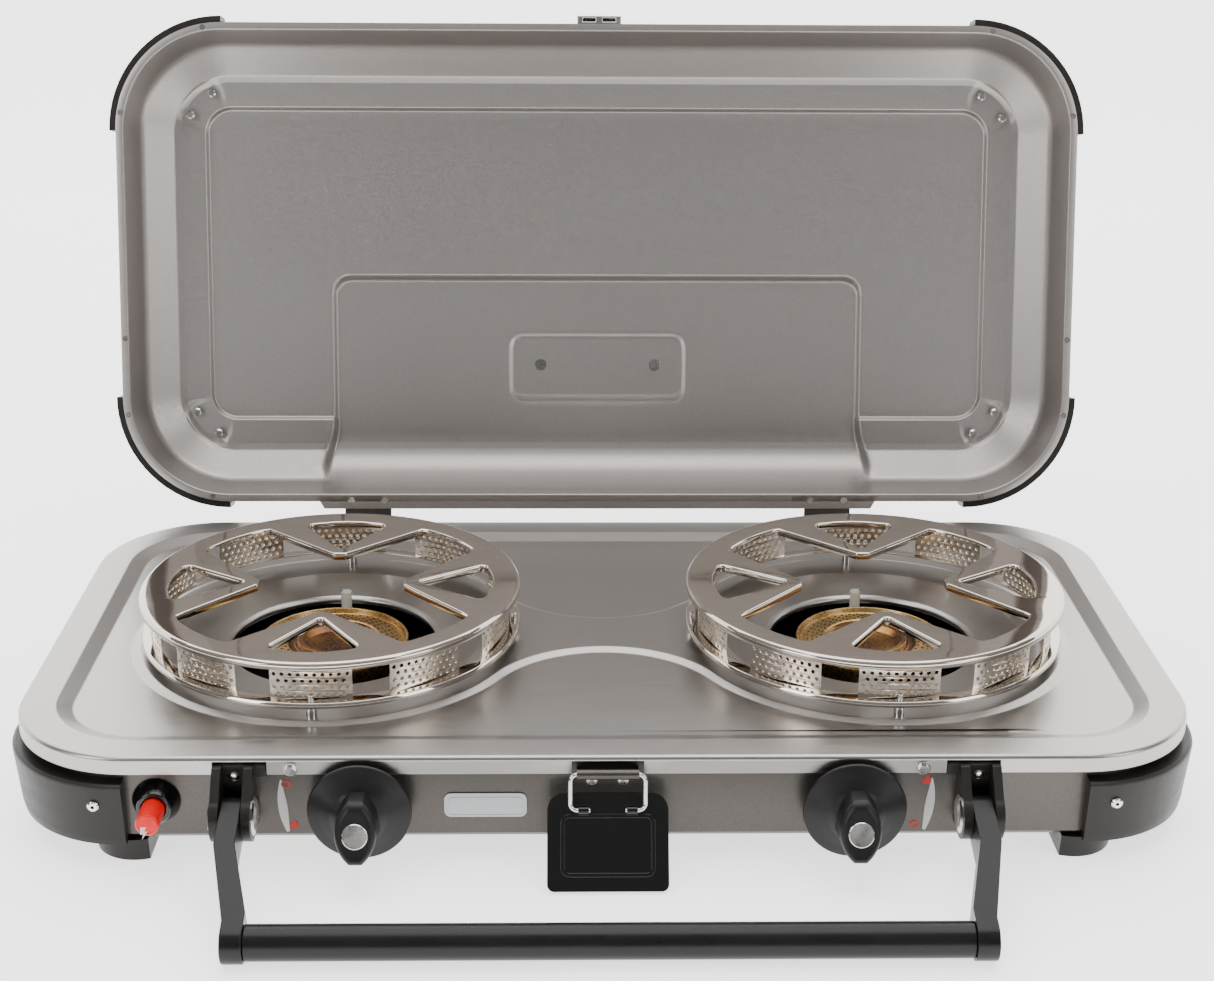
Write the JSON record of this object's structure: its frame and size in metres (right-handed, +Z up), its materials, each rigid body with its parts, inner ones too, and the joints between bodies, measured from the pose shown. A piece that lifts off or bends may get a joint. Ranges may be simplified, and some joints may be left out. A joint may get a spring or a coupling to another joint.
{
  "type": "two-burner camping stove",
  "caption": "Folding camping stove with a hinged lid, round pan grates over burners, front knobs, igniter button, latch and a swing-down carry handle.",
  "frame": {"origin": "middle of the outline, on the table under the stove", "axes": "+X to the right along the front, +Y to the back, +Z up"},
  "size_m": [0.689, 0.5774, 0.4115],
  "materials": {
    "case_paint": "dark grey-brown metallic paint, satin",
    "cooktop_steel": "fine left-right brushed stainless steel",
    "lid_steel": "fine satin stainless steel, warm grey",
    "hardware": "bright zinc or nickel plate, polished",
    "grate_metal": "polished warm nickel plate",
    "guard_plastic": "black plastic, fine satin grain",
    "latch_paint": "gloss black coating",
    "burner_aluminium": "as cast",
    "burner_brass": "pressed brass, heat tinted",
    "gas_brass": "machined brass",
    "bracket_steel": "plain galvanised sheet",
    "ceramic": "off-white glazed ceramic",
    "lead_rubber": "black rubber insulation",
    "button_red": "glossy red",
    "mark_print": "printed marks"
  },
  "bodies": {
    "base": {"base_case": "case_paint", "cooktop": "cooktop_steel", "rim_screws": "hardware", "tube_rivets": "hardware", "guard_front_left": "guard_plastic", "guard_front_right": "guard_plastic", "guard_back_left": "guard_plastic", "guard_back_right": "guard_plastic", "grate_studs": "hardware", "burner_left_body": "burner_aluminium", "burner_left_head": "burner_brass", "burner_right_body": "burner_aluminium", "burner_right_head": "burner_brass", "burner_brackets": "bracket_steel", "electrode_insulators": "ceramic", "electrode_pins": "hardware", "ignition_leads": "lead_rubber", "gas_rail": "gas_brass", "valve_left": "gas_brass", "valve_right": "gas_brass", "jets": "gas_brass", "gas_inlet": "gas_brass", "inlet_nut": "hardware", "igniter_body": "guard_plastic", "igniter_bezel": "latch_paint", "front_plate": "hardware", "scale_marks": "mark_print", "hinge_base_leaves": "case_paint", "hinge_pins": "hardware", "latch_bracket": "case_paint", "handle_brackets": "guard_plastic", "bracket_screws": "hardware", "handle_pivots": "hardware"},
    "lid": {"lid_shell": "lid_steel", "lid_guards": "guard_plastic", "lid_guard_rivets": "hardware", "lid_corner_screws": "hardware", "lid_catch": "hardware", "lid_plate": "hardware", "hinge_lid_leaves": "case_paint", "hinge_lid_rivets": "hardware"},
    "handle": {"handle_arm_left": "guard_plastic", "handle_arm_right": "guard_plastic", "handle_bar": "guard_plastic"},
    "latch_bail": {"latch_bail": "hardware"},
    "latch_plate": {"latch_plate": "latch_paint"},
    "knob_left": {"knob_left": "guard_plastic", "knob_left_disc": "hardware", "stem_left": "gas_brass"},
    "knob_right": {"knob_right": "guard_plastic", "knob_right_disc": "hardware", "stem_right": "gas_brass"},
    "igniter_button": {"igniter_button": "button_red"},
    "grate_left": {"grate_left_plate": "grate_metal", "grate_left_screens": "grate_metal", "grate_left_ring": "grate_metal"},
    "grate_right": {"grate_right_plate": "grate_metal", "grate_right_screens": "grate_metal", "grate_right_ring": "grate_metal"}
  },
  "joints": [
    {"name": "lid_hinge", "type": "hinge", "parent": "base", "child": "lid", "pos_m": [0, 0.17029, 0.0648], "axis": [-1, 0, 0], "range_deg": [-103.8, 0]},
    {"name": "handle_pivot", "type": "hinge", "parent": "base", "child": "handle", "pos_m": [0, -0.19471, 0.037], "axis": [1, 0, 0], "range_deg": [-100, 0]},
    {"name": "latch_bail_hinge", "type": "hinge", "parent": "base", "child": "latch_bail", "pos_m": [0, -0.19021, 0.0595], "axis": [-1, 0, 0], "range_deg": [0, 135]},
    {"name": "latch_plate_hinge", "type": "hinge", "parent": "latch_bail", "child": "latch_plate", "pos_m": [0, -0.19521, 0.04], "axis": [1, 0, 0], "range_deg": [-145, 0]},
    {"name": "knob_left_turn", "type": "hinge", "parent": "base", "child": "knob_left", "pos_m": [-0.137, -0.19021, 0.0375], "axis": [0, -1, 0], "range_deg": [0, 150]},
    {"name": "knob_right_turn", "type": "hinge", "parent": "base", "child": "knob_right", "pos_m": [0.137, -0.19021, 0.0375], "axis": [0, -1, 0], "range_deg": [0, 150]},
    {"name": "igniter_press", "type": "slide", "parent": "base", "child": "igniter_button", "axis": [0, 1, 0], "range_m": [0, 0.005], "stiffness_N_per_m": 600},
    {"name": "grate_left_lift", "type": "slide", "parent": "base", "child": "grate_left", "axis": [0, 0, 1], "range_m": [0, 0.03]},
    {"name": "grate_right_lift", "type": "slide", "parent": "base", "child": "grate_right", "axis": [0, 0, 1], "range_m": [0, 0.03]}
  ]
}
